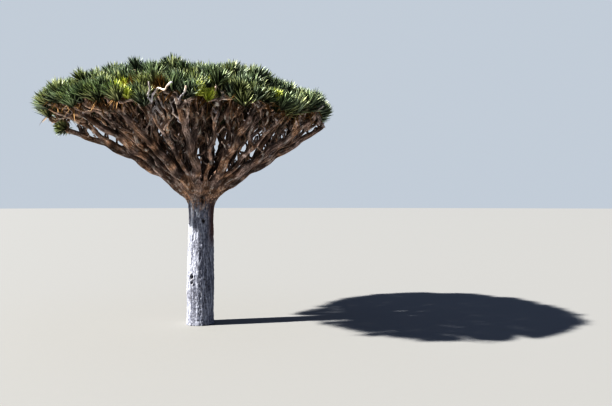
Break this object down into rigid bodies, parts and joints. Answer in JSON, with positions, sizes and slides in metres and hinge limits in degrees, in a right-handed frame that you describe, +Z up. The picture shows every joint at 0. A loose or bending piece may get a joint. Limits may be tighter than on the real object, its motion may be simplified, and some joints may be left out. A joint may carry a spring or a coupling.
{
  "type": "dragon blood tree",
  "caption": "Whole umbrella-shaped dragon blood tree: bare pale trunk, boughs that fork out from one head, and a flat dome of stiff sword leaves, rooted in the ground.",
  "frame": {"origin": "middle of the flat cut under the trunk, at ground level", "axes": "+Z up along the trunk, -Y towards the viewer of the picture, +X to the viewer's right"},
  "size_m": [8.299, 8.3135, 7.45],
  "materials": {
    "bark": "pale grey bark, fissured lengthwise, rough",
    "bough_bark": "warm brown-grey bark, smooth to scaly, matt",
    "foliage": "stiff blue-green sword leaves in rosettes, satin"
  },
  "bodies": {
    "root": {"bough_1": "bough_bark", "bough_1_a": "bough_bark", "bough_1_a_fork": "bough_bark", "bough_1_a_rim": "bough_bark", "bough_1_b": "bough_bark", "bough_1_b_fork": "bough_bark", "bough_1_top": "bough_bark", "bough_2": "bough_bark", "bough_2_a": "bough_bark", "bough_2_a_fork": "bough_bark", "bough_2_b": "bough_bark", "bough_2_b_fork": "bough_bark", "bough_2_top": "bough_bark", "bough_3": "bough_bark", "bough_3_a": "bough_bark", "bough_3_a_fork": "bough_bark", "bough_3_b": "bough_bark", "bough_3_b_fork": "bough_bark", "bough_3_top": "bough_bark", "bough_4": "bough_bark", "bough_4_a": "bough_bark", "bough_4_a_fork": "bough_bark", "bough_4_b": "bough_bark", "bough_4_b_fork": "bough_bark", "bough_4_top": "bough_bark", "bough_5": "bough_bark", "bough_5_a": "bough_bark", "bough_5_a_fork": "bough_bark", "bough_5_b": "bough_bark", "bough_5_b_fork": "bough_bark", "bough_5_top": "bough_bark", "bough_6": "bough_bark", "bough_6_a": "bough_bark", "bough_6_a_fork": "bough_bark", "bough_6_b": "bough_bark", "bough_6_b_fork": "bough_bark", "bough_6_top": "bough_bark", "bough_centre": "bough_bark", "leaves_centre": "foliage", "leaves_low_left": "foliage", "leaves_middle_1": "foliage", "leaves_middle_2": "foliage", "leaves_middle_3": "foliage", "leaves_middle_4": "foliage", "leaves_middle_5": "foliage", "leaves_middle_6": "foliage", "leaves_outer_1": "foliage", "leaves_outer_10": "foliage", "leaves_outer_11": "foliage", "leaves_outer_12": "foliage", "leaves_outer_2": "foliage", "leaves_outer_3": "foliage", "leaves_outer_4": "foliage", "leaves_outer_5": "foliage", "leaves_outer_6": "foliage", "leaves_outer_7": "foliage", "leaves_outer_8": "foliage", "leaves_outer_9": "foliage", "trunk": "bark"}
  },
  "joints": []
}
